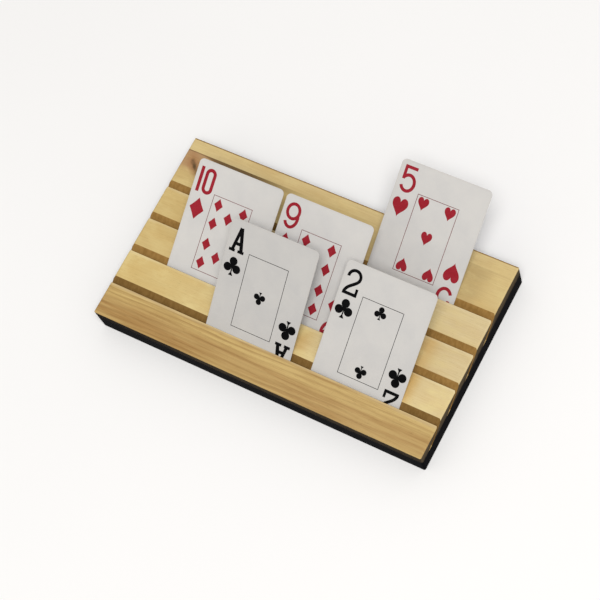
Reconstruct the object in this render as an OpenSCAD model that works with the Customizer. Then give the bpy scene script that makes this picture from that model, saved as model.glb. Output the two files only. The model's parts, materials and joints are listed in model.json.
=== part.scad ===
// Wooden playing-card rack with five cards standing in it.
// Five pine slats and a narrow back strip are bonded side by side on a black
// base board.  The sloping gaps between the slats are the four slots, open at
// both ends, that hold the cards.
// Frame: origin at the centre of the underside, +X right, +Y back, +Z up.
// Slots and slats are counted from the back.

/* [Rack] */
// Width of the rack, along the slots
rack_width = 244; // [200:1:400]
// Depth of the rack, front edge to back edge
rack_depth = 140; // [125:1:200]
// Thickness of the black base board
base_height = 14.4; // [6:0.2:30]
// Thickness of the pine slats, which is the depth of the slots
slat_height = 8.6; // [6:0.2:11]
// Radius of the four upright corners of the rack
corner_radius = 1.5; // [1:0.5:10]
// Radius of the bottom edges at both ends of the base board
base_edge_radius = 1; // [0.4:0.1:5]
// Radius of the top edges at both ends of the slats
end_radius = 1.5; // [0.4:0.1:5]
// Radius of the top edge at the front of the rack
front_radius = 1.6; // [0.4:0.1:5]

/* [Slots] */
// Slope of the slots, measured up from the underside
slot_angle = 29; // [27:1:50]
// Width of each slot, measured square to its walls
slot_gap = 2.4; // [1:0.1:4]
// Distance from one slot to the next
slot_pitch = 25.5; // [18:0.1:30]
// Distance from the front edge to the top of the wall behind the front slot
front_slat_depth = 28.7; // [26:0.1:40]
// Radius of the edge at the top of the wall behind each slot
wall_edge_radius = 0.9; // [0.3:0.1:2]
// Radius of the sharp lip in front of each slot
lip_radius = 0.1; // [0.1:0.05:0.6]

/* [Back edge] */
// Depth of the plain strip that is butted to the rearmost slat
back_strip_depth = 9.3; // [5:0.1:15]
// Radius of the top edge at the back of the rack
back_radius = 1.5; // [0.4:0.1:4]

/* [Cards] */
// Width of a card
card_width = 63.5; // [56:0.1:66]
// Height of a card
card_height = 88.9; // [70:0.1:120]
// Thickness of a card
card_thickness = 0.3; // [0.2:0.05:0.6]
// Radius of the corners of a card
card_radius = 3.2; // [1:0.1:8]
// Gap between a card and the slot wall or the lip that it leans on
lean_clearance = 0.1; // [0.05:0.05:0.3]
// Gap between a card and the floor of its slot
floor_clearance = 0.1; // [0.05:0.05:0.3]
// From the rack's left end to the ten of diamonds
ten_margin = 28.75; // [5:0.25:40]
// From the ten of diamonds to the nine beside it
nine_gap = 2.5; // [0.5:0.25:20]
// From the five of hearts to the rack's right end
five_margin = 27.75; // [5:0.25:60]
// From the two of clubs to the rack's right end
two_margin = 27.75; // [5:0.25:40]
// From the ace of clubs to the two beside it
ace_gap = 14.5; // [0.5:0.25:20]

/* [Hidden] */

pine = [0.84, 0.74, 0.51];
black_paint = [0.09, 0.09, 0.1];
card_white = [0.9, 0.89, 0.87];

$fn = 48;
// Straight steps that each rounded edge of a slat's outline is drawn with
arc_steps = 6;
// How far the blocks that trim a shape run past it
margin = 1;
slot_count = 4;
rack_height = base_height + slat_height;
front_y = -rack_depth / 2;
back_y = rack_depth / 2;
// The upright joint between the back strip and the rearmost slat
joint_y = back_y - back_strip_depth;
// A slot's opening at the top, and how far its walls run forward on the way down
slot_mouth = slot_gap / sin(slot_angle);
slot_run = slat_height / tan(slot_angle);

// Top edge of the wall behind each slot, and the lip in front of it
function wall_y(slot) = front_y + front_slat_depth + (slot_count - slot) * slot_pitch;
function lip_y(slot) = wall_y(slot) - slot_mouth;

// Centres of the cards, across the rack
ten_x = ten_margin + (card_width - rack_width) / 2;
nine_x = ten_x + card_width + nine_gap;
five_x = (rack_width - card_width) / 2 - five_margin;
two_x = (rack_width - card_width) / 2 - two_margin;
ace_x = two_x - card_width - ace_gap;

// Bottom edge of a card's back face, in the Y-Z plane, measured from the wall's
// top edge: it clears the wall and stands just over the floor of the slot
card_drop = slat_height - floor_clearance + lean_clearance * cos(slot_angle);
foot_y = -card_drop / tan(slot_angle) - lean_clearance * sin(slot_angle);
foot_z = floor_clearance - slat_height;

// Slope of a card that has tipped forward on to the rounded lip of its slot:
// from its foot to the middle of the rounding, in the Y-Z plane
lip_reach_y = -slot_mouth - lip_radius / tan(slot_angle / 2) - foot_y;
lip_reach_z = -lip_radius - foot_z;
tipped_angle = atan2(lip_reach_z, lip_reach_y)
    - asin((card_thickness + lean_clearance + lip_radius) / norm([lip_reach_y, lip_reach_z]));

// Unit vector from one point of the plane to another
function toward(a, b) = (b - a) / norm(b - a);

// Points of an arc of the given radius that rounds the corner b between a and c
function rounded_corner(a, b, c, radius) =
    let (
        u = toward(b, a),
        v = toward(b, c),
        half = acos(u * v) / 2,
        middle = toward([0, 0], u + v),
        centre = b + middle * radius / sin(half),
        start = b + u * radius / tan(half) - centre,
        finish = b + v * radius / tan(half) - centre,
        from = atan2(start[1], start[0]),
        sweep = atan2(start[0] * finish[1] - start[1] * finish[0], start * finish)
    )
    [for (i = [0 : arc_steps])
        centre + radius * [cos(from + sweep * i / arc_steps), sin(from + sweep * i / arc_steps)]];

// Rectangle centred on the origin with its four corners rounded
module rounded_rectangle(width, height, radius) {
    square([width - 2 * radius, height], center = true);
    square([width, height - 2 * radius], center = true);
    for (sx = [-1, 1], sy = [-1, 1])
        translate([sx * (width / 2 - radius), sy * (height / 2 - radius)])
            circle(radius);
}

// Rectangle standing on the X axis with only its two upper corners rounded
module arched_rectangle(width, height, radius) {
    translate([-width / 2, 0]) square([width, height - radius]);
    translate([radius - width / 2, 0]) square([width - 2 * radius, height]);
    for (sx = [-1, 1])
        translate([sx * (width / 2 - radius), height - radius])
            circle(radius);
}

// Upright block with the rack's plan outline, up to the given height
module rack_block(height) {
    linear_extrude(height)
        rounded_rectangle(rack_width, rack_depth, corner_radius);
}

// A slat: its Y-Z outline drawn out along X, with eased ends and corners
module slat(outline) {
    intersection() {
        rotate([90, 0, 90])
            linear_extrude(rack_width + 2 * margin, center = true)
                polygon(outline);
        rotate([90, 0, 0])
            linear_extrude(rack_depth + 2 * margin, center = true)
                arched_rectangle(rack_width, rack_height, end_radius);
        rack_block(rack_height + margin);
    }
}

// Outline of a slat that lies between two slots: both sides lean with the slots
function leaning_outline(slot) =
    let (
        wall_top = [wall_y(slot), rack_height],
        wall_foot = wall_top - [slot_run, slat_height],
        lip_top = [lip_y(slot - 1), rack_height],
        lip_foot = lip_top - [slot_run, slat_height]
    )
    concat(
        [wall_foot],
        rounded_corner(wall_foot, wall_top, lip_top, wall_edge_radius),
        rounded_corner(wall_top, lip_top, lip_foot, lip_radius),
        [lip_foot]
    );

module base_board() {
    color(black_paint)
        intersection() {
            rack_block(base_height);
            translate([0, 0, base_height])
                rotate([-90, 0, 0])
                    linear_extrude(rack_depth + 2 * margin, center = true)
                        arched_rectangle(rack_width, base_height, base_edge_radius);
        }
}

module back_strip() {
    joint_foot = [joint_y, base_height];
    joint_top = [joint_y, rack_height];
    back_top = [back_y, rack_height];
    back_foot = [back_y, base_height];
    color(pine)
        slat(concat(
            [joint_foot, joint_top],
            rounded_corner(joint_top, back_top, back_foot, back_radius),
            [back_foot]
        ));
}

// The rearmost slat: its front side leans with the slots, its back is upright
module rear_slat() {
    wall_top = [wall_y(1), rack_height];
    wall_foot = wall_top - [slot_run, slat_height];
    joint_top = [joint_y, rack_height];
    joint_foot = [joint_y, base_height];
    color(pine)
        slat(concat(
            [wall_foot],
            rounded_corner(wall_foot, wall_top, joint_top, wall_edge_radius),
            [joint_top, joint_foot]
        ));
}

module middle_slat(slot) {
    color(pine)
        slat(leaning_outline(slot));
}

module front_slat() {
    front_foot = [front_y, base_height];
    front_top = [front_y, rack_height];
    lip_top = [lip_y(slot_count), rack_height];
    lip_foot = lip_top - [slot_run, slat_height];
    color(pine)
        slat(concat(
            [front_foot],
            rounded_corner(front_foot, front_top, lip_top, front_radius),
            rounded_corner(front_top, lip_top, lip_foot, lip_radius),
            [lip_foot]
        ));
}

// A card standing in the given slot, centred at x and sloping up at the given angle
module card(slot, x, angle) {
    color(card_white)
        translate([x, wall_y(slot) + foot_y, rack_height + foot_z])
            rotate([angle, 0, 0])
                translate([0, card_height / 2, 0])
                    linear_extrude(card_thickness)
                        rounded_rectangle(card_width, card_height, card_radius);
}

base_board();
back_strip();
rear_slat();  // slat_1
middle_slat(2);  // slat_2
middle_slat(3);  // slat_3
middle_slat(4);  // slat_4
front_slat();
card(3, ten_x, slot_angle);  // card_10_diamonds
card(3, nine_x, slot_angle);  // card_9_diamonds
card(1, five_x, slot_angle);  // card_5_hearts
card(4, ace_x, tipped_angle);  // card_ace_clubs
card(4, two_x, slot_angle);  // card_2_clubs
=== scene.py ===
"""A wooden playing-card rack with five large-index cards standing in its slots.

The boards and the cards keep their shapes and get their finishes here. The
printing on the cards is made here too, as thin pieces of ink. Lengths are in
millimetres, and times MM where they meet the frame, which is in metres.
"""

import json
import math
from dataclasses import dataclass

import bpy
import numpy as np
from mathutils import Matrix, Vector


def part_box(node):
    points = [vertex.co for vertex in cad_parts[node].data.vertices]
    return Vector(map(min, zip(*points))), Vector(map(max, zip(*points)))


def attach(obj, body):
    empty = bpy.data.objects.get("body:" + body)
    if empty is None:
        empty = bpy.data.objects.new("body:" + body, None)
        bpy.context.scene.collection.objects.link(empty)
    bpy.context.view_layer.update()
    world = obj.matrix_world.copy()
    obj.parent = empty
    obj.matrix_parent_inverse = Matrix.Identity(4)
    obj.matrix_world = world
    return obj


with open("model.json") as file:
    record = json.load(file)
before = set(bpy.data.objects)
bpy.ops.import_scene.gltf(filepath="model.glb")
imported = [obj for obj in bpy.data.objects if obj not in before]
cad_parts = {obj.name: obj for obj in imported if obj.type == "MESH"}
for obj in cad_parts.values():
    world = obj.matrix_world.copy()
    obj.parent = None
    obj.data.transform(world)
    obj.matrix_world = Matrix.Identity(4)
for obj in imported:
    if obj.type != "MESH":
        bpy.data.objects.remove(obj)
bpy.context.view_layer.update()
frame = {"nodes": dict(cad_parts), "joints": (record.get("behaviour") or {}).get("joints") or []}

MM = 0.001
RACK_LOW, RACK_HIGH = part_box("base_board")
TOP_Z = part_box("slat_2")[1].z
LEFT_END = RACK_LOW.x / MM
FRONT_EDGE = RACK_LOW.y / MM
JOINT_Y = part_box("back_strip")[0].y / MM


def add_object(name, data):
    """A new object in the scene, which holds a mesh, a lamp or a camera."""
    thing = bpy.data.objects.new(name, data)
    bpy.context.scene.collection.objects.link(thing)
    return thing


def add_shape(name, points, faces, material):
    """A new object made of points and faces, with one material."""
    mesh = bpy.data.meshes.new(name)
    mesh.from_pydata(points.tolist(), [], faces)
    mesh.validate()
    mesh.materials.append(material)
    return add_object(name, mesh)


# ---------------------------------------------------------------- camera

CAMERA_AZIMUTH = 53.45
CAMERA_ELEVATION = 64.46
CAMERA_ROLL = 27.4
CAMERA_DISTANCE = 1.139
CAMERA_LENS = 105.9
CAMERA_SENSOR = 36.0
CAMERA_NEAR, CAMERA_FAR = 0.01, 50.0
AIM_ASIDE = Vector((2.2 * MM, -6.8 * MM, 0))


def place_camera():
    """Stands back from a point on top of the rack, at an azimuth, an elevation
    and a roll about the line of sight."""
    azimuth, elevation, roll = (
        math.radians(angle)
        for angle in (CAMERA_AZIMUTH, CAMERA_ELEVATION, CAMERA_ROLL)
    )
    backward = Vector(
        (
            math.sin(azimuth) * math.cos(elevation),
            -math.cos(azimuth) * math.cos(elevation),
            math.sin(elevation),
        )
    )
    level = Vector((math.cos(azimuth), math.sin(azimuth), 0))
    upright = backward.cross(level)
    right = math.cos(roll) * level - math.sin(roll) * upright
    up = backward.cross(right)
    aim = (RACK_LOW + RACK_HIGH) / 2 + AIM_ASIDE
    aim.z = TOP_Z
    lens = bpy.data.cameras.new("camera")
    lens.lens = CAMERA_LENS
    lens.sensor_width = CAMERA_SENSOR
    lens.clip_start = CAMERA_NEAR
    lens.clip_end = CAMERA_FAR
    camera = add_object("camera", lens)
    camera.matrix_world = Matrix.Translation(aim + backward * CAMERA_DISTANCE) @ (
        Matrix((right, up, backward)).transposed().to_4x4()
    )
    bpy.context.scene.camera = camera


# ------------------------------------------------------------ node helpers


class Recipe:
    """A material's node tree, with short words for the nodes it is mixed from."""

    def __init__(self, name):
        self.material = bpy.data.materials.new(name)
        self.material.use_nodes = True
        self.tree = self.material.node_tree
        self.tree.nodes.clear()
        self.finish = self.add("ShaderNodeBsdfPrincipled")
        output = self.add("ShaderNodeOutputMaterial")
        self.tree.links.new(self.finish.outputs["BSDF"], output.inputs["Surface"])

    def add(self, kind, **settings):
        """A new node with its settings."""
        node = self.tree.nodes.new(kind)
        for key, value in settings.items():
            setattr(node, key, value)
        return node

    def feed(self, socket, value):
        """Links another node's output to the socket, or sets it to a value."""
        if isinstance(value, bpy.types.NodeSocket):
            self.tree.links.new(value, socket)
        else:
            socket.default_value = value

    def surface(self, colour, roughness, height, depth, specular):
        """Finishes the recipe: a height of 1 stands proud by the depth."""
        bump = self.add("ShaderNodeBump")
        bump.inputs["Strength"].default_value = 1.0
        bump.inputs["Distance"].default_value = depth * MM
        self.feed(bump.inputs["Height"], height)
        self.feed(self.finish.inputs["Base Color"], colour)
        self.feed(self.finish.inputs["Roughness"], roughness)
        self.feed(self.finish.inputs["Normal"], bump.outputs["Normal"])
        self.finish.inputs["Specular IOR Level"].default_value = specular
        return self.material

    def place(self, source=None, scale=(1, 1, 1), rotation=(0, 0, 0), location=(0, 0, 0)):
        """The source, or else Object coordinates, scaled, then turned, then shifted."""
        if source is None:
            source = self.add("ShaderNodeTexCoord").outputs["Object"]
        node = self.add("ShaderNodeMapping")
        self.feed(node.inputs["Vector"], source)
        node.inputs["Scale"].default_value = scale
        node.inputs["Rotation"].default_value = rotation
        node.inputs["Location"].default_value = location
        return node.outputs["Vector"]

    def millimetres(self, source=None):
        """The source, or else Object coordinates, in millimetres."""
        return self.place(source, scale=(1 / MM,) * 3)

    def split(self, vector):
        """The three parts of a direction or place."""
        node = self.add("ShaderNodeSeparateXYZ")
        self.feed(node.inputs[0], vector)
        return node.outputs

    def facing(self):
        """The three parts of the direction that the surface faces."""
        return self.split(self.add("ShaderNodeNewGeometry").outputs["Normal"])

    def calc(self, operation, *values):
        """One step of arithmetic."""
        node = self.add("ShaderNodeMath", operation=operation)
        for socket, value in zip(node.inputs, values):
            self.feed(socket, value)
        return node.outputs[0]

    def minus(self, first, second):
        return self.calc("SUBTRACT", first, second)

    def times(self, first, second):
        return self.calc("MULTIPLY", first, second)

    def topped(self, base, value, share):
        """The base plus a share of the value."""
        return self.calc("MULTIPLY_ADD", value, share, base)

    def jogged(self, base, noise, reach):
        """The base moved either way by noise that runs from 0 to 1, over the
        reach in all."""
        return self.topped(base, self.minus(noise, 0.5), reach)

    def gap(self, value, middle):
        """How far the value is from the middle, either way."""
        return self.calc("ABSOLUTE", self.minus(value, middle))

    def away(self, first, second):
        """Distance from the point where both lengths are nought."""
        squares = [self.times(each, each) for each in (first, second)]
        return self.calc("SQRT", self.calc("ADD", *squares))

    def step(self, value, low, high, result=(0.0, 1.0)):
        """Smoothly from the first result, at low, to the second, at high."""
        node = self.add("ShaderNodeMapRange", interpolation_type="SMOOTHSTEP")
        keys = ("Value", "From Min", "From Max", "To Min", "To Max")
        for key, each in zip(keys, (value, low, high, *result)):
            self.feed(node.inputs[key], each)
        return node.outputs[0]

    def noise(self, vector, scale=1.0, detail=3.0, roughness=0.6):
        """Soft noise from 0 to 1, of a frequency given by its scale."""
        node = self.add("ShaderNodeTexNoise")
        self.feed(node.inputs["Vector"], vector)
        node.inputs["Scale"].default_value = scale
        node.inputs["Detail"].default_value = detail
        node.inputs["Roughness"].default_value = roughness
        return node.outputs["Fac"]

    def shades(self, value, *stops):
        """Grey that runs through the given (place, grey) stops."""
        node = self.add("ShaderNodeValToRGB")
        self.feed(node.inputs["Fac"], value)
        ramp = node.color_ramp
        while len(ramp.elements) < len(stops):
            ramp.elements.new(0.5)
        for element, (place, grey) in zip(ramp.elements, stops):
            element.position = place
            element.color = (grey, grey, grey, 1)
        return node.outputs["Color"]

    def mix(self, factor, first, second):
        """From the first colour to the second, as the factor goes from 0 to 1."""
        node = self.add("ShaderNodeMix", data_type="RGBA", blend_type="MIX")
        factor_socket, first_socket, second_socket = (node.inputs[i] for i in (0, 6, 7))
        self.feed(factor_socket, factor)
        for socket, value in ((first_socket, first), (second_socket, second)):
            self.feed(socket, (*value, 1) if isinstance(value, tuple) else value)
        return node.outputs[2]


def toned(colour, *shares):
    """A colour with its three parts times three shares, or all times one."""
    return tuple(part * share for part, share in zip(colour, shares * (3 // len(shares))))


# -------------------------------------------------------------------- pine

PALE_EARLY = (0.655, 0.495, 0.215)
PALE_LATE = (0.56, 0.385, 0.145)
# Painted sheen: the pale colour that the boards are mixed towards, and how far.
SHEEN_PALE = (0.86, 0.8, 0.62)
SHEEN_SHARE = 0.62
BROWN_BAND = (0.43, 0.25, 0.09)
# Painted shadows that the cards cast beside their right edges: warm orange-brown, and dull brown.
WARM_SHADOW = (0.6, 0.34, 0.07)
DULL_SHADOW = (0.34, 0.24, 0.11)
KNOT_BLUSH = (0.40, 0.22, 0.12)
KNOT_HALO = (0.33, 0.14, 0.055)
KNOT_HEART = (0.085, 0.06, 0.03)
JOINT_STREAK = (0.14, 0.084, 0.036)
# Sawn wall colours: darker than bare sawn pine by painted shade of the narrow slots.
SHADED_SAWN_DARK = (0.28, 0.155, 0.042)
SHADED_SAWN_PALE = (0.36, 0.205, 0.062)
SHADED_SAWN_RING = (0.16, 0.08, 0.02)
BLACK_PAINT = (0.0035, 0.0033, 0.0045)
DUSTY_PAINT = (0.008, 0.0076, 0.009)
THIN_PAINT = (0.09, 0.066, 0.04)

# Strength of the late wood through one turn of a ring: it ends sharply.
RING_TURN = ((0.0, 0.6), (0.1, 0.0), (0.5, 0.1), (0.8, 0.7), (0.93, 1.0), (1.0, 0.85))

# Noises drawn out along the grain: frequency along and across, detail, roughness.
RING_WANDER = (0.011, 0.05, 2, 0.5)
RING_STRENGTH = (0.009, 0.16, 2, 0.5)
BAND_SWERVE = (0.014, 0.05, 3, 0.55)
BLUSH_PATCHES = (0.03, 0.3)
KNOT_EDGE = (0.22, 0.22)
FIBRE = (0.04, 2.4, 4, 0.65)
MOTTLE = (0.02, 0.06)
PORES = (0.3, 3.2, 2, 0.5)
BRUSH_MARKS = (0.25, 0.25)

# Places where something starts and ends, along or across a board.
# Painted sheen: where it starts and where it is strongest.
SHEEN_ALONG = (-125.0, 90.0)
QUIET_ALONG = (0.0, 90.0)
BANDS_WEAKEN_ALONG = (-20.0, 100.0)
BLUSH_ALONG = (LEFT_END + 22.0, LEFT_END + 34.0)
BLUSH_ACROSS = (JOINT_Y - 18.7, JOINT_Y - 9.7)
STREAK_WIDENS_ALONG = (LEFT_END + 10.0, LEFT_END + 34.0)
STREAK_DARKENS_ALONG = (LEFT_END + 10.0, LEFT_END + 30.0)
STREAK_FADES_ALONG = (LEFT_END + 46.0, LEFT_END + 100.0)
PAINT_THICKENS_ALONG = (LEFT_END + 7.0, LEFT_END + 102.0)
EASED_EDGE_ACROSS = (FRONT_EDGE + 2.5, FRONT_EDGE + 3.5)

# The knot, and how far it pushes the rings out, from where to where in shares
# of its size.
KNOT_PLACE = (LEFT_END + 10.5, JOINT_Y - 10.2)
KNOT_HALF_LENGTH = 8.0
KNOT_HALF_WIDTH = 3.0
KNOT_LEAN = math.radians(48.7)
KNOT_BULGE = 7.0
KNOT_PUSH = (0.2, 2.6)


@dataclass
class Pine:
    """How one board's wood differs from the next one's."""

    ring: float  # width of a growth ring
    pith: tuple  # middle of the tree, across and up, where along is nought
    drift: tuple  # how far the pith moves, across and up, for each length along
    offset: tuple  # shift to a part of the noise that no other board uses
    contrast: float  # strength of the late wood where it is strongest
    painted_sheen: tuple  # painted sheen: paleness at the left and at the right
    early: tuple = PALE_EARLY
    late: tuple = PALE_LATE
    fading: float = 0.3  # share of the contrast left where it is weakest
    quiet_end: float = 1.0  # share of the contrast left at the right end
    glow: float = 0.4  # strength of the bright patches
    patch: tuple = (0.045, 0.09)  # their frequencies along and across
    wander: float = 9.0  # how far the rings wander from true circles
    bands: tuple = ()  # brown bands: middle across, half width, strength
    painted_shadows: tuple = ()  # painted shadows of the cards: middle along, reach, strength, colour
    wall_shade_tone: float = 1.0  # brightness of the sawn walls, below 1 a painted shade
    lip: float = None  # place across of a lip that gets a painted highlight, a pale band
    has_knot: bool = False


class PineRecipe(Recipe):
    """A recipe that also knows a point's place along, across and up through its
    board, in millimetres."""

    def __init__(self, name, offset):
        super().__init__(name)
        place = self.millimetres()
        self.shifted = self.place(place, location=offset)
        self.along, self.across, self.up = self.split(place)

    def grain(self, long_way, cross_way, detail=3, roughness=0.6):
        """Noise drawn out along the grain, by its frequencies both ways."""
        place = self.place(self.shifted, scale=(long_way, cross_way, cross_way))
        return self.noise(place, detail=detail, roughness=roughness)


def knot_distance(made):
    """Distance from the middle of a leaning ellipse, as a share of its size:
    the two lengths are turned by the lean, then divided by the half sizes."""
    right = made.minus(made.along, KNOT_PLACE[0])
    back = made.minus(made.across, KNOT_PLACE[1])
    lean_cos, lean_sin = math.cos(KNOT_LEAN), math.sin(KNOT_LEAN)
    length = made.topped(made.times(right, lean_cos), back, -lean_sin)
    width = made.topped(made.times(back, lean_cos), right, lean_sin)
    return made.away(
        made.calc("DIVIDE", length, KNOT_HALF_LENGTH), made.calc("DIVIDE", width, KNOT_HALF_WIDTH)
    )


def growth_rings(made, pine, from_knot):
    """Strength of the late wood.

    A ring's place is the distance from the pith across the grain, bent by slow
    noise, pushed out round a knot, and divided by the ring width. What is left
    over a whole number is the turn.
    """
    side = made.minus(made.across, made.topped(pine.pith[0], made.along, pine.drift[0]))
    rise = made.minus(made.up, made.topped(pine.pith[1], made.along, pine.drift[1]))
    radius = made.jogged(made.away(side, rise), made.grain(*RING_WANDER), pine.wander)
    if pine.has_knot:
        radius = made.topped(radius, made.step(from_knot, *KNOT_PUSH, (1.0, 0.0)), KNOT_BULGE)
    turn = made.calc("FRACT", made.calc("DIVIDE", radius, pine.ring))
    weakest = pine.fading * pine.contrast
    uneven = made.step(made.grain(*RING_STRENGTH), 0.3, 0.7, (weakest, pine.contrast))
    at_right = made.step(made.along, *QUIET_ALONG, (1.0, pine.quiet_end))
    return made.times(made.times(made.shades(turn, *RING_TURN), uneven), at_right)


def with_bands(made, wood, bands):
    """Brown bands along the grain that swerve slowly and weaken to the right."""
    swerve = made.jogged(made.across, made.grain(*BAND_SWERVE), 9.0)
    for middle, half_width, strength in bands:
        band = made.step(made.gap(swerve, middle), 0.25 * half_width, half_width, (strength, 0.0))
        band = made.times(band, made.step(made.along, *BANDS_WEAKEN_ALONG, (1.0, 0.75)))
        wood = made.mix(band, wood, BROWN_BAND)
    return wood


def with_painted_shadows(made, wood, painted_shadows, mottle):
    """Painted shadows of the cards: soft darker patches across the grain, strongest at their
    middles.
    """
    uneven = made.jogged(made.along, mottle, 12.0)
    for middle, reach, strength, shadow_colour in painted_shadows:
        spread = made.step(made.gap(uneven, middle), 0.1 * reach, reach, (strength, 0.0))
        wood = made.mix(spread, wood, shadow_colour)
    return wood


def with_knot(made, wood, from_knot, mottle):
    """A reddish blush in the back left corner, the knot's brown halo and dark
    heart, and a dark streak along the joint that fades to the right."""
    blush = made.times(
        made.step(made.along, *BLUSH_ALONG, (1.0, 0.0)), made.step(made.across, *BLUSH_ACROSS)
    )
    blush = made.times(blush, made.step(made.grain(*BLUSH_PATCHES), 0.25, 0.6, (0.35, 0.75)))
    wood = made.mix(blush, wood, KNOT_BLUSH)
    ragged = made.topped(from_knot, made.grain(*KNOT_EDGE), 1.3)
    wood = made.mix(made.step(ragged, 0.9, 2.8, (0.55, 0.0)), wood, KNOT_HALO)
    wood = made.mix(made.step(ragged, 0.8, 1.5, (0.85, 0.0)), wood, KNOT_HEART)
    from_joint = made.jogged(made.minus(JOINT_Y, made.across), mottle, 2.5)
    width = made.step(made.along, *STREAK_WIDENS_ALONG, (1.2, 5.2))
    streak = made.step(from_joint, made.times(width, 0.45), width, (1.0, 0.0))
    streak = made.times(streak, made.step(made.along, *STREAK_DARKENS_ALONG, (0.6, 0.92)))
    streak = made.times(streak, made.step(made.along, *STREAK_FADES_ALONG, (1.0, 0.0)))
    return made.mix(streak, wood, JOINT_STREAK)


def sawn_and_shaded_wood(made, saw, late_wood, tone):
    """A slot's walls: the darker wood that the saw left, darkened further by painted shade of the
    slot.
    """
    sawn = made.mix(made.step(saw, 0.3, 0.7), toned(SHADED_SAWN_DARK, tone), toned(SHADED_SAWN_PALE, tone))
    return made.mix(made.times(late_wood, 0.5), sawn, toned(SHADED_SAWN_RING, tone))


def edge_paint(made, brush, east):
    """Black paint on the outer edges, thin and brown towards the top, most of
    all on the ends and at the right."""
    paint = made.mix(made.step(brush, 0.35, 0.7), BLACK_PAINT, DUSTY_PAINT)
    top = TOP_Z / MM
    thin = made.step(made.jogged(made.up, brush, 8.0), top - 10.5, top - 4.5, (0.15, 0.95))
    on_end = made.step(made.calc("ABSOLUTE", east), 0.5, 0.9, (0.45, 1.0))
    to_right = made.step(made.along, *PAINT_THICKENS_ALONG, (0.35, 1.0))
    return made.mix(made.times(thin, made.times(on_end, to_right)), paint, THIN_PAINT)


def pine_finish(name, pine):
    """Sealed pine, as a solid block of growth rings.

    The board is paler towards the right, a painted sheen, and brighter in soft
    patches of its own colour. Beside the cards' edges it carries painted
    shadows, and a paler band along its lip is a painted highlight. Faces that
    lean with the slots show sawn wood, darkened further by painted shade of the
    slots, apart from the eased front edge, and outer faces are painted black.
    """
    made = PineRecipe(name, pine.offset)
    from_knot = knot_distance(made) if pine.has_knot else None
    late_wood = growth_rings(made, pine, from_knot)
    fibre = made.grain(*FIBRE)
    mottle = made.grain(*MOTTLE)
    cloud = made.grain(*pine.patch, detail=4)
    pores = made.step(made.grain(*PORES), 0.64, 0.73)
    saw = made.noise(made.place(made.shifted, scale=(0.5, 0.08, 0.5)))
    brush = made.grain(*BRUSH_MARKS)
    east, north, _ = made.facing()
    leaning = made.step(made.calc("ABSOLUTE", north), 0.12, 0.42)
    leaning = made.times(leaning, made.step(made.across, *EASED_EDGE_ACROSS))
    painted = made.step(made.jogged(made.away(east, north), brush, 0.16), 0.8, 0.96)

    # Painted sheen: the wood is mixed towards a paler colour, more to the right. The same pale
    # colour makes the painted highlight on the lip.
    pale = tuple(a + (b - a) * SHEEN_SHARE for a, b in zip(pine.early, SHEEN_PALE))
    sheen_mask = made.step(made.along, *SHEEN_ALONG, pine.painted_sheen)
    fibrous = made.step(fibre, 0.3, 0.75, (0.0, 0.34))
    mottled = made.step(mottle, 0.35, 0.75, (0.0, 0.24))
    glowing = made.step(cloud, 0.42, 0.68, (0.0, pine.glow))
    wood = with_bands(made, pine.early, pine.bands) if pine.bands else pine.early
    wood = made.mix(late_wood, wood, pine.late)
    wood = made.mix(sheen_mask, wood, pale)
    wood = made.mix(fibrous, wood, toned(pine.late, 0.72))
    wood = made.mix(mottled, wood, toned(pine.late, 1.0, 0.86, 0.6))
    # Painted shadows of the cards beside their right edges.
    if pine.painted_shadows:
        wood = with_painted_shadows(made, wood, pine.painted_shadows, mottle)
    wood = made.mix(glowing, wood, toned(pine.early, 1.12, 1.2, 1.3))
    wood = made.mix(made.times(pores, 0.3), wood, toned(pine.late, 0.55))
    if pine.has_knot:
        wood = with_knot(made, wood, from_knot, mottle)
    # Painted highlight: a paler band along the rounded lip.
    if pine.lip is not None:
        worn = made.jogged(made.across, cloud, 4.0)
        wood = made.mix(made.step(worn, pine.lip - 2.4, pine.lip - 0.4, (0.0, 0.25)), wood, pale)
    # The walls' sawn wood, with painted shade of the slots.
    wood = made.mix(leaning, wood, sawn_and_shaded_wood(made, saw, late_wood, pine.wall_shade_tone))
    colour = made.mix(painted, wood, edge_paint(made, brush, east))

    dullness = made.topped(made.topped(0.4, fibre, 0.16), leaning, 0.25)
    height = made.topped(made.times(fibre, 0.5), late_wood, 0.6)
    height = made.topped(height, pores, -0.4)
    height = made.topped(height, made.times(saw, leaning), 2.0)
    roughness = made.calc("MAXIMUM", dullness, painted)
    return made.surface(colour, roughness, height, depth=0.05, specular=0.03)


# ------------------------------------------------------------- black board

BARE_PALE = (0.6, 0.44, 0.2)
BARE_DARK = (0.42, 0.27, 0.1)
RUBBED_PAINT = (0.09, 0.06, 0.035)


def black_board_finish():
    """Satin black paint over wood on the outer faces; the glued top is bare.

    The paint has the wood's grain standing through it, a little dust, and is
    rubbed to grey-brown where the bottom edges turn.
    """
    made = Recipe("black_board")
    place = made.millimetres()
    _, _, sky = made.facing()
    grain = made.noise(made.place(place, scale=(0.03, 1.2, 1.2)), detail=4)
    patch = made.noise(place, 0.06)
    paint = made.mix(made.step(patch, 0.35, 0.7), BLACK_PAINT, DUSTY_PAINT)
    edge = made.times(made.step(sky, -0.85, -0.5), made.step(sky, -0.3, -0.5))
    rubbed = made.times(made.times(edge, made.step(patch, 0.45, 0.6)), 0.35)
    paint = made.mix(rubbed, paint, RUBBED_PAINT)
    bare = made.mix(made.step(grain, 0.3, 0.75), BARE_PALE, BARE_DARK)
    colour = made.mix(made.step(sky, 0.8, 0.95), paint, bare)
    roughness = made.topped(0.28, patch, 0.25)
    return made.surface(colour, roughness, grain, depth=0.06, specular=0.001)


# ------------------------------------------------------------------- cards

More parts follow.
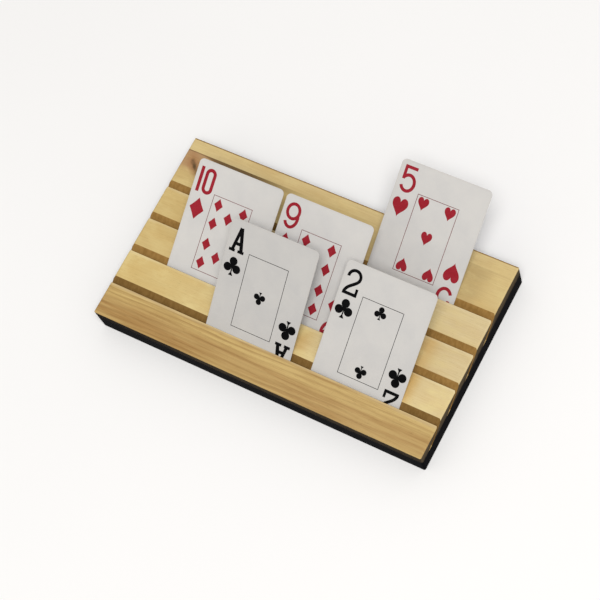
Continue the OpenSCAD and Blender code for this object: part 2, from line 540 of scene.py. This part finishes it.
PALE_STOCK = (0.66, 0.645, 0.62)
DULL_STOCK = (0.615, 0.605, 0.59)
SOILED_STOCK = (0.5, 0.46, 0.4)
BACK_WHITE = (0.66, 0.64, 0.62)
BACK_BLUE = (0.04, 0.075, 0.24)
BACK_PITCH = 3.2
WEAVE_PITCH = 0.55

# Distances from the rim between which the back's border gives way to its
# pattern, and its white line starts and ends.
BORDER_ENDS = (3.6, 3.8)
LINE_STARTS = (4.4, 4.6)
LINE_ENDS = (5.0, 5.2)


class Card:
    """A standing card: its centre, its own directions and its size.

    It slides along its own plane, so the joint's axis is the card's upward
    direction. The box of a flat card of height h and thickness t that slopes
    along (0, c, s) is h c + t s deep and h s + t c tall, which gives both.
    """

    def __init__(self, node, body):
        self.body = body
        joint = next(j for j in frame["joints"] if j["child"] == body)
        self.up = Vector(joint["axis"])
        self.across = Vector((1, 0, 0))
        self.out = self.across.cross(self.up)
        low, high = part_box(node)
        size = high - low
        c, s = self.up.y, self.up.z
        self.width = size.x
        self.height = (size.y * c - size.z * s) / (c * c - s * s)
        self.thickness = (size.z * c - size.y * s) / (c * c - s * s)
        self.centre = (low + high) / 2

    def on_face(self, points):
        """Card positions (across, up, out), in millimetres from the middle of
        the printed face, as points in the rack's frame."""
        axes = np.array((self.across, self.up, self.out))
        face = np.array(self.centre + self.out * (self.thickness / 2))
        return face + (np.asarray(points) * MM) @ axes


def card_back(made, across, up, from_rim):
    """Fine white slanting lines both ways on blue, and a white line round them.
    A slanting line lies where the sum or the difference of across and up is
    half a pitch past a whole number of pitches."""

    def from_line(operation):
        slant = made.calc("DIVIDE", made.calc(operation, across, up), BACK_PITCH)
        return made.gap(made.calc("FRACT", slant), 0.5)

    lines = made.calc("MINIMUM", from_line("ADD"), from_line("SUBTRACT"))
    printed = made.mix(made.step(lines, 0.07, 0.12), BACK_WHITE, BACK_BLUE)
    round_line = made.times(
        made.step(from_rim, *LINE_STARTS), made.step(from_rim, *LINE_ENDS, (1.0, 0.0))
    )
    return made.mix(round_line, printed, BACK_WHITE)


def card_finish(card, name, tone):
    """Coated card: a faint pressed linen weave, uneven tone and soiled edges on
    the face, and a printed back inside a white border.

    Positions are taken into the card's own plane, so across, up and out are
    millimetres from its middle. The weave is one sine across times one up.
    """
    made = Recipe(name)
    slope = math.atan2(card.up.z, card.up.y)
    centred = made.place(location=tuple(-card.centre))
    own = made.millimetres(made.place(centred, rotation=(-slope, 0, 0)))
    across, up, out = made.split(own)
    from_side = made.minus(card.width / 2 / MM, made.calc("ABSOLUTE", across))
    from_end = made.minus(card.height / 2 / MM, made.calc("ABSOLUTE", up))
    from_rim = made.calc("MINIMUM", from_side, from_end)

    cloud = made.noise(own, 0.05, detail=4)
    grain = made.noise(own, 1.6)
    # A tone below 1 darkens the stock: painted shade on the cards in dimmer light.
    stock = made.mix(made.step(cloud, 0.3, 0.7), toned(PALE_STOCK, tone), toned(DULL_STOCK, tone))
    soil = made.times(made.step(from_rim, 0.0, 2.2, (1.0, 0.0)), made.step(grain, 0.3, 0.8))
    stock = made.mix(made.times(soil, 0.3), stock, SOILED_STOCK)
    pattern = card_back(made, across, up, from_rim)
    back = made.mix(made.step(from_rim, *BORDER_ENDS), stock, pattern)
    behind = made.step(out, -0.12, -0.06, (1.0, 0.0))
    colour = made.mix(behind, stock, back)

    radians = 2 * math.pi / WEAVE_PITCH
    threads = [made.calc("SINE", made.times(each, radians)) for each in (across, up)]
    height = made.topped(made.times(grain, 0.5), made.times(*threads), 0.25)
    height = made.topped(height, cloud, 8.0)
    roughness = made.topped(0.38, grain, 0.15)
    return made.surface(colour, roughness, height, depth=0.012, specular=0.35)


def ink_finish(name, thick, thin):
    """Printing ink: a colour that thins in small flecks, with a slight gloss."""
    made = Recipe(name)
    place = made.millimetres()
    fleck = made.noise(place, 1.3)
    cloud = made.noise(place, 0.12)
    worn = made.step(made.topped(made.times(fleck, 0.5), cloud, 0.5), 0.35, 0.7)
    colour = made.mix(worn, thick, thin)
    roughness = made.topped(0.32, fleck, 0.2)
    return made.surface(colour, roughness, fleck, depth=0.008, specular=0.04)


# --------------------------------------------------------------- printing

INK_SUNK = -0.05
INK_PROUD = 0.02
INK_STEP = 0.0008
SHARPEST_MITRE = 0.5
SUIT_HALF_WIDTH = 5.4
INDEX_X = -23.9
INDEX_FOOT = 22.65
SUIT_Y = 12.6
PANEL_HALF_WIDTH = 14.5
PANEL_HALF_HEIGHT = 25.5
ACE_PANEL_HALF_HEIGHT = 24.85
PANEL_LINE = 0.36
SMALL_DIAMOND = 0.6
SMALL_HEART = 0.7
SMALL_CLUB = 0.67


def arc(centre, radii, start, end, steps=40):
    """Points of an ellipse's arc: centre + (rx cos a, ry sin a), with the angle
    a, in degrees, running evenly from start to end."""
    angle = np.radians(np.linspace(start, end, steps))
    return np.column_stack(
        (centre[0] + radii[0] * np.cos(angle), centre[1] + radii[1] * np.sin(angle))
    )


def sweep(a, b, c, d, steps=24):
    """Points of the cubic curve from a to d that sets off towards b and comes
    in from c: each point is weighted by (1-t)^3, 3t(1-t)^2, 3t^2(1-t) and t^3."""
    t = np.linspace(0, 1, steps)[:, None]
    a, b, c, d = map(np.array, (a, b, c, d))
    return (1 - t) ** 3 * a + 3 * t * (1 - t) ** 2 * b + 3 * t * t * (1 - t) * c + t**3 * d


def ribbon(path, width, closed=False):
    """A flat bar of ink carried along a path: at each point a rectangle, as
    wide as the pen across the path, from the sunk to the proud height. The
    pen's direction at a corner is the mitre between its two sides."""
    path = np.asarray(path, float)
    if closed:
        before, after = path - np.roll(path, 1, 0), np.roll(path, -1, 0) - path
    else:
        leg = np.diff(path, axis=0)
        before, after = np.vstack((leg[:1], leg)), np.vstack((leg, leg[-1:]))
    before /= np.linalg.norm(before, axis=1)[:, None]
    after /= np.linalg.norm(after, axis=1)[:, None]
    left = np.column_stack((-before[:, 1] - after[:, 1], before[:, 0] + after[:, 0]))
    left /= np.linalg.norm(left, axis=1)[:, None]
    square_on = np.column_stack((-before[:, 1], before[:, 0]))
    mitre = np.clip((left * square_on).sum(1), SHARPEST_MITRE, 1)
    left *= (width / 2 / mitre)[:, None]
    count = len(path)
    corners = np.zeros((count, 4, 3))
    corners[:, 0, :2] = corners[:, 3, :2] = path + left
    corners[:, 1, :2] = corners[:, 2, :2] = path - left
    corners[:, :2, 2] = INK_SUNK
    corners[:, 2:, 2] = INK_PROUD
    rows = np.arange(count if closed else count - 1)
    ring = np.arange(4)
    here, there = rows[:, None] * 4, (rows[:, None] + 1) % count * 4
    beside = (ring + 1) % 4
    faces = np.stack((here + ring, there + ring, there + beside, here + beside), -1)
    faces = faces.reshape(-1, 4).tolist()
    if not closed:
        last = 4 * (count - 1)
        faces += [[0, 1, 2, 3], [last + 3, last + 2, last + 1, last]]
    return corners.reshape(-1, 3), faces


def blot(outline, middle=(0, 0)):
    """A filled patch of ink: rings that run from its middle out to the outline
    on the sunk side, and back to the middle on the proud side."""
    outline = np.asarray(outline, float)
    count = len(outline)
    rings = np.zeros((2, count, 3))
    rings[:, :, :2] = outline
    rings[0, :, 2] = INK_SUNK
    rings[1, :, 2] = INK_PROUD
    points = np.vstack(([[*middle, INK_SUNK]], rings.reshape(-1, 3), [[*middle, INK_PROUD]]))
    i = np.arange(count)
    j = (i + 1) % count
    under = np.column_stack((np.zeros(count, int), 1 + j, 1 + i))
    side = np.column_stack((1 + i, 1 + j, 1 + count + j, 1 + count + i))
    over = np.column_stack((np.full(count, 2 * count + 1), 1 + count + i, 1 + count + j))
    return points, under.tolist() + side.tolist() + over.tolist()


def moved(shapes, x, y, size=1.0):
    """Shapes made larger or smaller about their own origin, then shifted."""
    return [(points * (size, size, 1) + (x, y, 0), faces) for points, faces in shapes]


def half_turn(shapes):
    """Shapes turned upside down about the middle of the card."""
    return [(points * (-1, -1, 1), faces) for points, faces in shapes]


def stacked(shapes):
    """Each shape a hair prouder than the last, so that no two tops coincide."""
    return [(points + (0, 0, INK_STEP * i), faces) for i, (points, faces) in enumerate(shapes)]


def diamond():
    """A rhombus whose four sides' middles are drawn in by a small share."""
    corners = np.array([(SUIT_HALF_WIDTH, 0), (0, 7.4), (-SUIT_HALF_WIDTH, 0), (0, -7.4)])
    middles = (corners + np.roll(corners, -1, 0)) / 2 * 0.955
    return [blot(np.stack((corners, middles), 1).reshape(-1, 2))]


def heart():
    """x is the half width times the cube of the sine, and y a sum of four
    cosines: 13 cos a - 5 cos 2a - 2 cos 3a - cos 4a, scaled and raised."""
    a = np.linspace(0, 2 * math.pi, 72, endpoint=False)[::-1]
    y = 13 * np.cos(a) - 5 * np.cos(2 * a) - 2 * np.cos(3 * a) - np.cos(4 * a)
    outline = np.column_stack((SUIT_HALF_WIDTH * np.sin(a) ** 3, 0.3 + 0.438 * (y + 2.5)))
    return [blot(outline, (0, 0.4))]


def club():
    """Three round lobes about a small round middle, over a straight stem with a
    flared foot."""
    lobes = [
        blot(arc((x, y), (r, r), 0, 350, 36), (x, y))
        for x, y, r in ((0, 3.9, 2.85), (-3.3, -0.8, 2.85), (3.3, -0.8, 2.85), (0, 0.7, 1.6))
    ]
    left_side = [(-0.4, -0.5), (-0.45, -3.9), (-1.65, -5.9)]
    right_side = [(-x, y) for x, y in left_side]
    return lobes + [blot([right_side[0], *left_side, *right_side[:0:-1]], (0, -4.7))]


def numeral_two():
    """An arc over the top that runs on into a falling curve, on a flat foot
    with a short upright tip."""
    hook = arc((0, 12.25), (4.15, 4.05), 188, -32)
    fall = sweep(hook[-1], (1.6, 7.2), (-3.7, 5.6), (-4.2, 1.0))[1:]
    return [
        ribbon(np.vstack((hook, fall)), 2.05),
        ribbon([(-5.1, 1.05), (5.1, 1.05)], 2.05),
        ribbon([(4.2, 0.3), (4.2, 5.4)], 1.8),
    ]


def numeral_five():
    """A flat bar, a short upright and the arc of the bowl."""
    return [
        ribbon([(-4.55, 16.3), (4.25, 16.3)], 2.1),
        ribbon([(-3.6, 17.2), (-3.6, 8.0)], 2.0),
        ribbon(arc((0.2, 6.1), (4.4, 5.2), 141, -156), 2.15),
    ]


def numeral_nine():
    """A closed loop, and the arc of the tail that starts on its right."""
    return [
        ribbon(arc((0, 11.5), (4.25, 4.85), 0, 352, 45), 2.1, closed=True),
        ribbon(arc((-0.1, 7.2), (4.35, 6.2), 28, -151), 2.1),
    ]


def numeral_ten():
    """An upright, and an oval made of two half circles and straight sides."""
    top = arc((2.05, 13.4), (2.85, 2.85), 0, 180, 20)
    foot = arc((2.05, 3.9), (2.85, 2.85), 180, 360, 20)
    return [
        ribbon([(-4.75, 0.05), (-4.75, 17.2)], 2.35),
        ribbon(np.vstack((top, foot)), 2.3, closed=True),
    ]


def letter_a():
    """Two leaning legs, the right one bolder, a bar and two flat feet."""
    return [
        ribbon([(0.15, 16.7), (-3.1, 1.0)], 2.2),
        ribbon([(0.4, 16.7), (3.35, 1.0)], 2.5),
        ribbon([(-2.3, 5.8), (2.6, 5.8)], 2.2),
        ribbon([(-5.5, 1.0), (-1.15, 1.0)], 2.0),
        ribbon([(0.85, 1.0), (5.35, 1.0)], 2.0),
    ]


def panel(half_height):
    """The thin line round the middle of the card, mitred at its corners."""
    w, h = PANEL_HALF_WIDTH, half_height
    return [ribbon([(w, h), (-w, h), (-w, -h), (w, -h)], PANEL_LINE, closed=True)]


def corner_index(numeral, suit, aside=0.0, numeral_out=0.0, suit_out=0.0):
    """Numeral over suit mark at the top left, and again, turned half round, at
    the bottom right. A numeral may stand a little aside, and either mark a
    little further out."""
    mark = moved(numeral, INDEX_X + aside, INDEX_FOOT + numeral_out)
    mark += moved(suit, INDEX_X, SUIT_Y + suit_out)
    return mark + half_turn(mark)


def pips(suit, size, places):
    """Small suit marks at the given places; those below the middle are turned
    upside down."""
    upright = moved(suit, 0, 0, size)
    upset = half_turn(upright)
    return [shape for x, y in places for shape in moved(upright if y >= 0 else upset, x, y)]


def both_ways(*places):
    """Each place with its mirror images left and right and top and bottom."""
    signs = (1, -1)
    return sorted({(i * x, j * y) for x, y in places for i in signs for j in signs}, reverse=True)


def print_card(card, name, shapes, ink, rise):
    """Joins the shapes into one mesh on the card's face, which rides the card.
    The sheets were cut a little out of true, so the printing sits higher or
    lower by its rise."""
    shapes = stacked(moved(shapes, 0, rise))
    points = card.on_face(np.vstack([each for each, _ in shapes]))
    faces, start = [], 0
    for each, own_faces in shapes:
        faces += [[start + index for index in face] for face in own_faces]
        start += len(each)
    piece = add_shape(name, points, faces, ink)
    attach(piece, card.body)


# ------------------------------------------------------------------- stage

FLOOR_RADIUS = 9.0
FLOOR_DROP = 0.2 * MM
FLOOR_PALE = (0.96, 0.96, 0.96)
FLOOR_DULL = (0.93, 0.93, 0.93)
FLOOR_ROUGHNESS = 0.9
FLOOR_SPECULAR = 0.1
ROOM_COLOUR = (1.0, 0.975, 0.945, 1)
ROOM_STRENGTH = 0.47
LAMP_PLACE = Vector((0.95, -0.8, 3.06))
LAMP_AIM = Vector((0, 0, 0.02))
LAMP_WIDTH = 1.6
LAMP_WATTS = 70.0
LAMP_COLOUR = (1.0, 0.99, 0.98)


def lay_floor(turns=64, rings=12):
    """A pale flat disc just under the rack: rings whose radius grows with the
    square of their number, each point at (r cos a, r sin a)."""
    radius = np.linspace(0, 1, rings + 1)[1:] ** 2 * FLOOR_RADIUS
    angle = np.linspace(0, 2 * math.pi, turns, endpoint=False)
    r, a = np.meshgrid(radius, angle, indexing="ij")
    points = np.stack((r * np.cos(a), r * np.sin(a), np.full_like(r, -FLOOR_DROP)), -1)
    points = np.vstack(([[0, 0, -FLOOR_DROP]], points.reshape(-1, 3)))
    i = np.arange(turns)
    j = (i + 1) % turns
    faces = np.column_stack((np.zeros(turns, int), 1 + i, 1 + j)).tolist()
    row = np.arange(rings - 1)[:, None] * turns + 1
    quads = np.stack((row + i, row + turns + i, row + turns + j, row + j), -1)
    faces += quads.reshape(-1, 4).tolist()
    made = Recipe("pale_floor")
    tone = made.noise(made.place(), 3.0, roughness=0.5)
    made.feed(made.finish.inputs["Base Color"], made.mix(tone, FLOOR_PALE, FLOOR_DULL))
    made.finish.inputs["Roughness"].default_value = FLOOR_ROUGHNESS
    made.finish.inputs["Specular IOR Level"].default_value = FLOOR_SPECULAR
    floor = add_shape("floor", points, faces, made.material)


def light_room():
    """Even pale surroundings with one broad soft lamp high up, towards the
    front right."""
    scene = bpy.context.scene
    world = bpy.data.worlds.new("room")
    world.use_nodes = True
    background = world.node_tree.nodes["Background"]
    background.inputs["Color"].default_value = ROOM_COLOUR
    background.inputs["Strength"].default_value = ROOM_STRENGTH
    scene.world = world
    light = bpy.data.lights.new("key_lamp", "AREA")
    light.shape = "DISK"
    light.size = LAMP_WIDTH
    light.energy = LAMP_WATTS
    light.color = LAMP_COLOUR
    lamp = add_object("key_lamp", light)
    turn = (LAMP_AIM - LAMP_PLACE).to_track_quat("-Z", "Y").to_matrix().to_4x4()
    lamp.matrix_world = Matrix.Translation(LAMP_PLACE) @ turn
    scene.view_settings.view_transform = "Standard"
    scene.view_settings.look = "None"


# ------------------------------------------------------------ put together

place_camera()
light_room()
lay_floor()


def dress(node, material):
    """Puts a finish on every slot of a node."""
    for slot in frame["nodes"][node].material_slots:
        slot.material = material


def lip_place(node):
    """Place across of a slat's rear top edge, where a slot's lip gets a painted highlight."""
    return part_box(node)[1].y / MM


# Per board, the paleness to the right is a painted sheen, the patches beside the cards are
# painted shadows, a wall tone below 1 adds painted shade, and the lip gets a painted highlight.
BOARDS = {
    "back_strip": Pine(
        ring=5.5, pith=(80.0, -40.0), drift=(0.03, 0.01), offset=(40, 12, 3), contrast=0.5,
        painted_sheen=(0.2, 0.2),
    ),
    "slat_1": Pine(
        ring=7.0, pith=(30.0, -60.0), drift=(0.02, 0.05), offset=(300, 90, 30), contrast=0.5,
        painted_sheen=(0.05, 0.14), painted_shadows=((98.0, 16.0, 0.4, DULL_SHADOW),), has_knot=True,
    ),
    "slat_2": Pine(
        ring=7.5, pith=(5.0, -70.0), drift=(-0.02, 0.05), offset=(700, 20, 80), contrast=0.45,
        painted_sheen=(0.0, 0.5), lip=lip_place("slat_2"),
    ),
    "slat_3": Pine(
        ring=6.5, pith=(-50.0, -50.0), drift=(0.03, 0.03), offset=(1100, 60, 10), contrast=0.5,
        painted_sheen=(0.0, 0.5), painted_shadows=((92.0, 12.0, 0.45, WARM_SHADOW),), lip=lip_place("slat_3"),
    ),
    "slat_4": Pine(
        early=(0.69, 0.535, 0.235), late=(0.61, 0.43, 0.165),
        ring=8.0, pith=(-20.0, -60.0), drift=(0.02, -0.05), offset=(1500, 40, 50), contrast=0.4,
        painted_sheen=(0.0, 0.5), glow=0.6, wall_shade_tone=0.66,
        painted_shadows=((13.0, 14.0, 0.45, WARM_SHADOW), (92.0, 11.0, 0.62, WARM_SHADOW)),
        lip=lip_place("slat_4"),
    ),
    "front_slat": Pine(
        early=(0.65, 0.465, 0.182), late=(0.27, 0.14, 0.045),
        ring=2.9, pith=(-150.0, -30.0), drift=(0.012, 0.01), offset=(1900, 70, 20), contrast=0.62,
        painted_sheen=(0.0, 0.06), fading=0.45, quiet_end=0.45, glow=0.3, patch=(0.013, 0.3), wander=7.0,
        bands=(
            (FRONT_EDGE + 7.0, 10.5, 0.9),
            (FRONT_EDGE + 22.0, 1.3, 0.4),
            (FRONT_EDGE + 18.5, 1.1, 0.3),
        ),
        lip=lip_place("front_slat"),
    ),
}
for node, pine in BOARDS.items():
    dress(node, pine_finish("pine_" + node, pine))
dress("base_board", black_board_finish())

RED_INK = ink_finish("red_ink", (0.305, 0.016, 0.026), (0.355, 0.026, 0.04))
BLACK_INK = ink_finish("black_ink", (0.002, 0.002, 0.0025), (0.005, 0.005, 0.0055))
RED_LINE = ink_finish("red_line_ink", (0.16, 0.03, 0.035), (0.2, 0.045, 0.05))
INKS = {"red": (RED_INK, RED_LINE), "black": (BLACK_INK, BLACK_INK)}


@dataclass
class CardPrint:
    """What one card carries, and how its stock's brightness and its cut differ; a tone below 1 is
    painted shade.
    """

    body: str
    colour: str  # of its ink
    marks: list  # its printed shapes
    rise: float  # how far up the printing sits
    tone: float = 1.0  # brightness of the stock, below 1 a painted shade for cards in dimmer light
    half_height: float = PANEL_HALF_HEIGHT


TALL_COLUMNS = both_ways((9.45, 19.9), (9.45, 7.05))
CARDS = {
    "card_10_diamonds": CardPrint(
        body="ten_of_diamonds", colour="red", rise=-0.95,
        marks=corner_index(numeral_ten(), diamond(), aside=0.85, numeral_out=0.8)
        + pips(diamond(), SMALL_DIAMOND, TALL_COLUMNS + [(0, 13.5), (0, -13.5)]),
    ),
    "card_9_diamonds": CardPrint(
        body="nine_of_diamonds", colour="red", rise=-0.25,
        marks=corner_index(numeral_nine(), diamond(), numeral_out=0.3)
        + pips(diamond(), SMALL_DIAMOND, TALL_COLUMNS + [(0, 0)]),
    ),
    "card_5_hearts": CardPrint(
        body="five_of_hearts", colour="red", rise=0.4, tone=0.98,
        marks=corner_index(numeral_five(), heart(), numeral_out=0.8, suit_out=0.2)
        + pips(heart(), SMALL_HEART, both_ways((9.45, 20.1)) + [(0, 0)]),
    ),
    "card_ace_clubs": CardPrint(
        body="ace_of_clubs", colour="black", rise=-0.1, tone=0.86,
        half_height=ACE_PANEL_HALF_HEIGHT,
        marks=corner_index(letter_a(), club()) + half_turn(pips(club(), SMALL_CLUB, [(0, 0)])),
    ),
    "card_2_clubs": CardPrint(
        body="two_of_clubs", colour="black", rise=-0.35, tone=0.93,
        marks=corner_index(numeral_two(), club(), numeral_out=0.3, suit_out=0.85)
        + pips(club(), SMALL_CLUB, [(0, 19.7), (0, -19.7)]),
    ),
}
for node, printed in CARDS.items():
    card = Card(node, printed.body)
    dress(node, card_finish(card, node + "_stock", printed.tone))
    mark_ink, line_ink = INKS[printed.colour]
    line = panel(printed.half_height)
    print_card(card, printed.body + "_print", printed.marks, mark_ink, printed.rise)
    print_card(card, printed.body + "_panel_line", line, line_ink, printed.rise)
